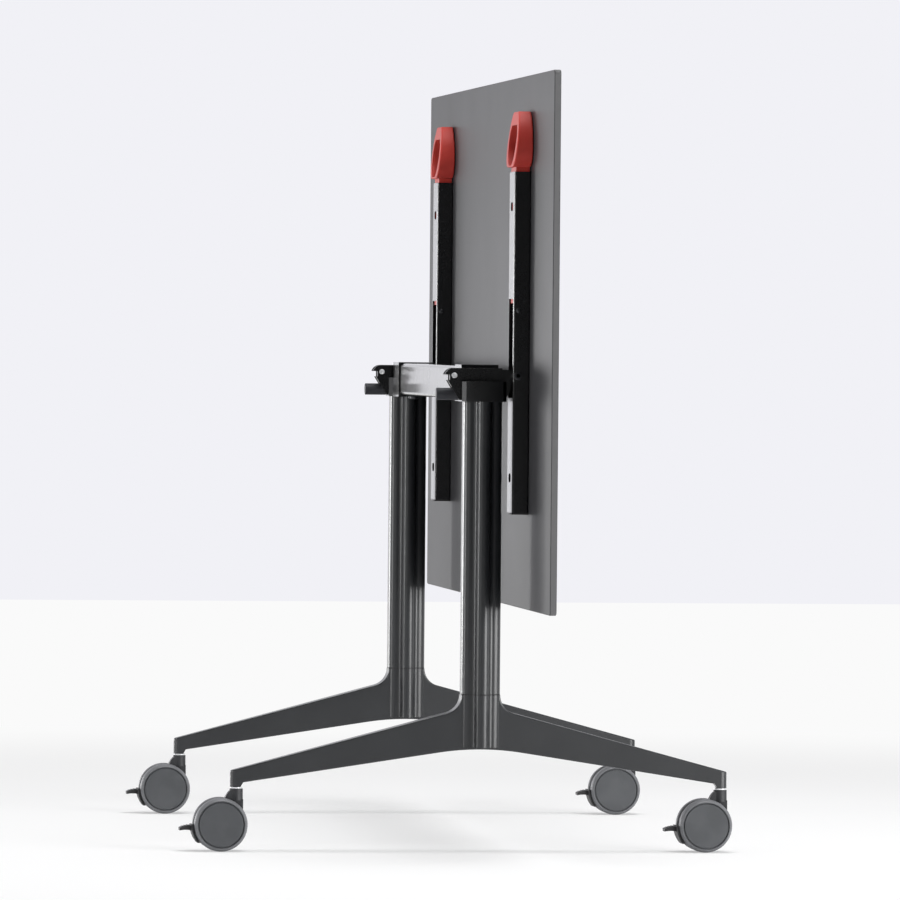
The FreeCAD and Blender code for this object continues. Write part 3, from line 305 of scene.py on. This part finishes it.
def piece(name, shape, slot, body=None, stands_for=()):
    """Close a mesh, shade it, give it a slot's finish and let it ride on a body, if it has just one."""
    bmesh.ops.remove_doubles(shape, verts=shape.verts, dist=MERGE_DISTANCE)
    bmesh.ops.recalc_face_normals(shape, faces=shape.faces)
    mesh = bpy.data.meshes.new(name)
    shape.to_mesh(mesh)
    shape.free()
    mesh.shade_smooth()
    mesh.set_sharp_from_angle(angle=math.radians(SHARP_ANGLE))
    mesh.materials.append(LOOKS[slot])
    item = bpy.data.objects.new(name, mesh)
    bpy.context.scene.collection.objects.link(item)
    if body:
        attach(item, body)
    if stands_for:
        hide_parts(*stands_for)
    return item


def spun(shape, profile, place, steps):
    """Turn a profile of (radius, height) points about the Z axis of a place.

    Returns the last ring's edges.
    """
    before = set(shape.verts)
    points = [shape.verts.new((radius, 0, height)) for radius, height in profile]
    lines = [shape.edges.new(pair) for pair in zip(points, points[1:])]
    bmesh.ops.spin(shape, geom=points + lines, cent=(0, 0, 0), axis=(0, 0, 1), angle=2 * math.pi,
                   steps=steps, use_merge=True)
    made = [v for v in shape.verts if v not in before]
    last_radius, last_height = profile[-1]
    ring = [v for v in made if abs(v.co.z - last_height) < SAME_PLACE
            and abs(v.co.xy.length - last_radius) < SAME_PLACE]
    edges = {e for v in ring for e in v.link_edges if all(end in ring for end in e.verts)}
    bmesh.ops.transform(shape, matrix=place, verts=made)
    return list(edges)


def hex_socket(shape, rim, place, across, top, depth):
    """Close a turned head with a hexagon key's socket."""
    made = bmesh.ops.create_circle(shape, segments=6, radius=across / math.sqrt(3),
                                   matrix=place @ Matrix.Translation((0, 0, top)))
    lip = list({e for v in made["verts"] for e in v.link_edges})
    bmesh.ops.bridge_loops(shape, edges=rim + lip)
    sunk = bmesh.ops.extrude_edge_only(shape, edges=lip)["geom"]
    floor = [item for item in sunk if isinstance(item, bmesh.types.BMVert)]
    bmesh.ops.translate(shape, verts=floor, vec=place.to_3x3() @ Vector((0, 0, -depth)))
    bmesh.ops.contextual_create(shape, geom=floor)


def standing(x, y, z, axis):
    """A place whose own Z axis points along an axis."""
    return Matrix.Translation((x, y, z)) @ Vector(axis).to_track_quat("Z", "Y").to_matrix().to_4x4()


def middle_of(node):
    """The middle of a node's box."""
    low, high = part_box(node)
    return (Vector(low) + Vector(high)) / 2


def sizes_of(node):
    """The sizes of a node's box along the three axes."""
    low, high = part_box(node)
    return Vector(high) - Vector(low)


def leg_y(leg):
    """Where a leg stands along the table."""
    return middle_of(leg + "_column").y


def make_hook_pins():
    """Bright turned pins through the hook plates, each end with a rim round a shallow dish."""
    middle, size = middle_of("hook_pins"), sizes_of("hook_pins")
    radius, end = size.x / 2, size.y / 2 - leg_y("left")
    chamfer, rim, dish = 0.1 * radius, 0.72 * radius, 0.12 * radius
    half = [(0, end - dish), (0.8 * rim, end - dish), (rim, end), (radius - chamfer, end),
            (radius, end - chamfer)]
    profile = half + [(r, -h) for r, h in reversed(half)]
    shape = bmesh.new()
    for leg in LEGS:
        spun(shape, profile, standing(middle.x, leg_y(leg), middle.z, (0, 1, 0)), PIN_STEPS)
    piece("hook_pins_turned", shape, "zinc", "frame", ["hook_pins"])


def make_pivot_pins():
    """Headed pivot pins with a key's socket at each end."""
    middle, size = middle_of("pivot_pins"), sizes_of("pivot_pins")
    radius, end = size.x / 2, size.y / 2 - leg_y("left")
    head, shank = PIVOT_HEAD, PIVOT_SHANK / 2
    soft = 0.5 * head
    profile = [(shank, 0), (shank, end - head), (radius, end - head), (radius, end - soft),
               (radius - 0.3 * soft, end - 0.3 * soft), (radius - soft, end), (0.62 * radius, end)]
    shape = bmesh.new()
    for leg in LEGS:
        for way in (-1, 1):
            place = standing(middle.x, leg_y(leg), middle.z, (0, way, 0))
            rim = spun(shape, profile, place, PIN_STEPS)
            hex_socket(shape, rim, place, 0.85 * radius, end, 0.7 * head)
    piece("pivot_pins_turned", shape, "black_zinc", "frame", ["pivot_pins"])


def make_guide_rivets():
    """Domed blind rivets in the rails' side walls."""
    middle, size = middle_of("guide_rivets"), sizes_of("guide_rivets")
    radius, end = size.x / 2, size.y / 2 - leg_y("left")
    low = end - RIVET_HEAD
    slopes = [math.radians(step) for step in (0, 15, 30, 45, 60, 72)]
    dome = [(radius * math.cos(slope), low + RIVET_HEAD * math.sin(slope)) for slope in slopes]
    mandrel, sunk = 0.22 * radius, end - 0.3 * RIVET_HEAD
    profile = [(0, low - RIVET_SHANK), (RIVET_SHANK / 2, low - RIVET_SHANK), (RIVET_SHANK / 2, low),
               *dome, (mandrel, end), (0.9 * mandrel, sunk), (0, sunk)]
    shape = bmesh.new()
    for leg in LEGS:
        for way in (-1, 1):
            spun(shape, profile, standing(middle.x, leg_y(leg), middle.z, (0, way, 0)), SMALL_STEPS)
    piece("guide_rivets_domed", shape, "black_zinc", "top", ["guide_rivets"])


def make_beam_bolts():
    """Button-headed bolts up through the heads into the crossbeam."""
    low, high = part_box("beam_bolts")
    radius = (high[0] - low[0]) / 2
    top, dome = high[2] - low[2], 0.6 * BOLT_HEAD
    neck = top - BOLT_HEAD
    profile = [(0, 0), (BOLT_SHANK / 2, 0), (BOLT_SHANK / 2, neck), (radius, neck), (radius, top - dome),
               (0.92 * radius, top - 0.4 * dome), (0.78 * radius, top - 0.08 * dome), (0.62 * radius, top)]
    shape = bmesh.new()
    for way in (-1, 1):
        for step in (0, BOLT_SPACING):
            y = way * (high[1] - radius - step)
            place = standing((low[0] + high[0]) / 2, y, high[2], (0, 0, -1))
            rim = spun(shape, profile, place, SMALL_STEPS)
            hex_socket(shape, rim, place, 0.8 * radius, top, 0.6 * BOLT_HEAD)
    piece("beam_bolts_turned", shape, "black_zinc", "frame", ["beam_bolts"])


def make_caster_stems():
    """Bright stems with a rounded flange, and a groove for a snap ring near the lower end."""
    low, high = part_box("caster_stems")
    flange_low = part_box("front_right_caster_body")[1][2] + STEM_GAP
    tall, flange = high[2] - low[2], flange_low - low[2]
    r, f, t, soft = STEM_DIAMETER / 2, FLANGE_DIAMETER / 2, FLANGE_THICKNESS, 0.3 * FLANGE_THICKNESS
    ring = 0.12 * flange
    profile = [(0, 0), (0.8 * r, 0), (r, 0.2 * r), (r, ring), (0.86 * r, ring), (0.86 * r, 1.3 * ring),
               (r, 1.3 * ring), (r, flange), (f - soft, flange), (f - 0.3 * soft, flange + 0.3 * soft),
               (f, flange + soft), (f, flange + t - soft), (f - 0.3 * soft, flange + t - 0.3 * soft),
               (f - soft, flange + t), (r, flange + t), (r, tall), (0, tall)]
    shape = bmesh.new()
    for joint in frame["joints"]:
        if joint["name"].endswith("_swivel"):
            x, y, _ = joint["pos_m"]
            spun(shape, profile, standing(x, y, low[2], (0, 0, 1)), STEM_STEPS)
    piece("caster_stems_turned", shape, "zinc", "frame", ["caster_stems"])


def make_seam_shadow_bands():
    """A thin near-black band round the foot of each column, cut from the column's own section: painted shade for
    the shadow gap at the seam with its base.
    """
    for leg in LEGS:
        column = nodes[leg + "_column"]
        middle, seam = middle_of(leg + "_column"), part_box(leg + "_column")[0][2]
        shape = bmesh.new()
        shape.from_mesh(column.data)
        bmesh.ops.remove_doubles(shape, verts=shape.verts, dist=MERGE_DISTANCE)
        everything = shape.verts[:] + shape.edges[:] + shape.faces[:]
        cut = bmesh.ops.bisect_plane(shape, geom=everything, plane_co=(0, 0, seam + SEAM_SHADOW_HEIGHT),
                                     plane_no=(0, 0, 1), clear_outer=True)
        rim = [item for item in cut["geom_cut"] if isinstance(item, bmesh.types.BMEdge)]
        bmesh.ops.triangle_fill(shape, edges=rim, use_beauty=True)
        bmesh.ops.scale(shape, verts=shape.verts, vec=(SEAM_SHADOW_PROUD, SEAM_SHADOW_PROUD, 1),
                        space=Matrix.Translation((-middle.x, -middle.y, 0)))
        # Painted shade: a near-black band, a hair proud of the column, where the seam's shadow gap shows.
        piece(leg + "_column_gasket", shape, "black_plastic", "frame")


def make_latch_springs():
    """Coil springs that stretch between the rail, at their lower end, and the sliding handle."""
    for leg in LEGS:
        node = leg + "_latch_spring"
        shape = bmesh.new()
        shape.from_mesh(nodes[node].data)
        item = piece(node + "_coil", shape, "spring_steel", stands_for=[node])
        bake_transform(item)


def tab_height(tag, x, y):
    """How high the top of a brake lever's foot tab is at a place."""
    lever = nodes[tag + "_brake_lever"]
    found, spot, _, _ = lever.ray_cast(lever.matrix_world.inverted() @ Vector((x, y, 1)), (0, 0, -1))
    return (lever.matrix_world @ spot).z if found else middle_of(tag + "_brake_lever").z


def make_lever_grips():
    """Raised ribs across the foot tab of each brake lever."""
    for tag in CASTORS:
        low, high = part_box(tag + "_brake_lever")
        y = (low[1] + high[1]) / 2
        shape = bmesh.new()
        for step in range(GRIP_RIBS):
            x = low[0] + GRIP_INSET + step * GRIP_SPACING
            top = tab_height(tag, x, y)
            sizes = Matrix.Diagonal((GRIP_WIDTH, GRIP_LENGTH, 2 * GRIP_HEIGHT, 1))
            made = bmesh.ops.create_cube(shape, size=1, matrix=Matrix.Translation((x, y, top)) @ sizes)
            edges = list({e for v in made["verts"] for e in v.link_edges})
            bmesh.ops.bevel(shape, geom=edges, offset=0.3 * GRIP_HEIGHT, segments=2, profile=0.5,
                            affect="EDGES", material=-1)
        piece(tag + "_lever_grip", shape, "black_plastic", tag + "_lever")


def seen_by_eye(graph):
    """1 on the camera's own rays, else 0."""
    return graph.node("ShaderNodeLightPath", {}, {}, "Is Camera Ray")


def seen_by_mirror(graph):
    """1 on rays that glossy surfaces reflect, else 0."""
    return graph.node("ShaderNodeLightPath", {}, {}, "Is Glossy Ray")


def floor_material():
    """White floor that shows its own colour to the eye, less of it near the table so that shadows fall."""
    material = bpy.data.materials.new("studio_floor")
    material.use_nodes = True
    graph = Graph(material.node_tree)
    graph.tree.nodes.remove(graph.tree.nodes["Principled BSDF"])
    white = srgb(250, 250, 250)
    place = graph.node("ShaderNodeTexCoord", {}, {}, "Object")
    distance = graph.node("ShaderNodeVectorMath", {"operation": "LENGTH"}, {0: place}, "Value")
    far = distance.ramp(SHADOW_REACH, 3 * SHADOW_REACH)
    share = (seen_by_eye(graph) + seen_by_mirror(graph)) * (FLOOR_GLOW + (1 - FLOOR_GLOW) * far)
    matt = graph.node("ShaderNodeBsdfDiffuse", {}, {"Color": white})
    glow = graph.node("ShaderNodeEmission", {}, {"Color": white})
    mix = graph.node("ShaderNodeMixShader", {}, {0: share, 1: matt, 2: glow})
    graph.feed(graph.tree.nodes["Material Output"].inputs["Surface"], mix)
    return material


def lay_floor():
    """A white floor whose far edge meets the backdrop."""
    shape = bmesh.new()
    ends = ((-FLOOR_REACH, FLOOR_FRONT_Y), (FLOOR_REACH, FLOOR_FRONT_Y), (FLOOR_REACH, FLOOR_BACK_Y),
            (-FLOOR_REACH, FLOOR_BACK_Y))
    shape.faces.new([shape.verts.new((x, y, 0)) for x, y in ends])
    mesh = bpy.data.meshes.new("floor")
    shape.to_mesh(mesh)
    shape.free()
    mesh.materials.append(floor_material())
    item = bpy.data.objects.new("floor", mesh)
    bpy.context.scene.collection.objects.link(item)


def hang_backdrop():
    """A pale backdrop to the eye. As light it is bright behind the table and dim on the camera's side."""
    world = bpy.data.worlds.new("studio")
    world.use_nodes = True
    graph = Graph(world.node_tree)
    way = graph.node("ShaderNodeTexCoord", {}, {}, "Generated")
    behind = graph.node("ShaderNodeSeparateXYZ", {}, {0: way}, "Y").ramp(-0.3, 0.7)
    eye, mirror = seen_by_eye(graph), seen_by_mirror(graph)
    air = AIR_DIM + behind * (AIR_BRIGHT - AIR_DIM + mirror * (BACKDROP_GLOW - AIR_BRIGHT))
    sky = graph.tree.nodes["Background"]
    graph.feed(sky.inputs["Color"], srgb(241, 241, 246))
    graph.feed(sky.inputs["Strength"], eye + (1 - eye) * air)
    bpy.context.scene.world = world


def softbox(name, place, aim, width, height, watts):
    """A flat lamp that faces the table."""
    lamp = bpy.data.lights.new(name, "AREA")
    lamp.energy = watts
    lamp.shape = "RECTANGLE"
    lamp.size = width
    lamp.size_y = height
    item = bpy.data.objects.new(name, lamp)
    item.location = place
    item.rotation_euler = (aim - Vector(place)).to_track_quat("-Z", "Y").to_euler()
    bpy.context.scene.collection.objects.link(item)


def light_studio():
    """Soft light from both sides and above."""
    aim = Vector((0.05, 0, 0.6))
    softbox("left_back", (-3.4, 5.0, 0.5), aim, 2.2, 1.2, 95)
    softbox("left_side", (-4.5, -0.6, 1.1), aim, 0.5, 2.0, 60)
    softbox("left_front", (-3.0, -4.2, 1.7), aim, 0.36, 1.6, 30)
    softbox("overhead", (0.4, -0.4, 4.6), aim, 2.6, 2.6, 160)
    softbox("right_front", (3.7, -3.9, 1.0), aim, 3.6, 2.0, 235)


def place_camera():
    """The photograph's long lens, nearly level, looking along the table."""
    lens = bpy.data.cameras.new("camera")
    lens.sensor_width = SENSOR_MM
    lens.lens = FOCAL_PX / FRAME_WIDTH_PX * SENSOR_MM
    lens.clip_end = 4 * FLOOR_REACH
    fall = math.atan((FRAME_WIDTH_PX / 2 - HORIZON_ROW_PX) / FOCAL_PX)
    turns = (Matrix.Rotation(math.radians(-CAMERA_YAW), 4, "Z")
             @ Matrix.Rotation(math.pi / 2 - fall, 4, "X")
             @ Matrix.Rotation(math.radians(CAMERA_ROLL), 4, "Z"))
    camera = bpy.data.objects.new("camera", lens)
    camera.matrix_world = Matrix.Translation(CAMERA_AT) @ turns
    bpy.context.scene.collection.objects.link(camera)
    bpy.context.scene.camera = camera


bpy.context.scene.view_settings.view_transform = "Standard"
for subpart in frame["record"]["subparts"]:
    paint(subpart["node"], LOOKS[subpart["material_slot"]])
# The castor bodies get the darker nylon copy, which is partly painted shade.
for tag in CASTORS:
    paint(tag + "_caster_body", SHADED_HOUSING)
make_hook_pins()
make_pivot_pins()
make_guide_rivets()
make_beam_bolts()
make_caster_stems()
make_seam_shadow_bands()
make_latch_springs()
make_lever_grips()
lay_floor()
hang_backdrop()
light_studio()
place_camera()
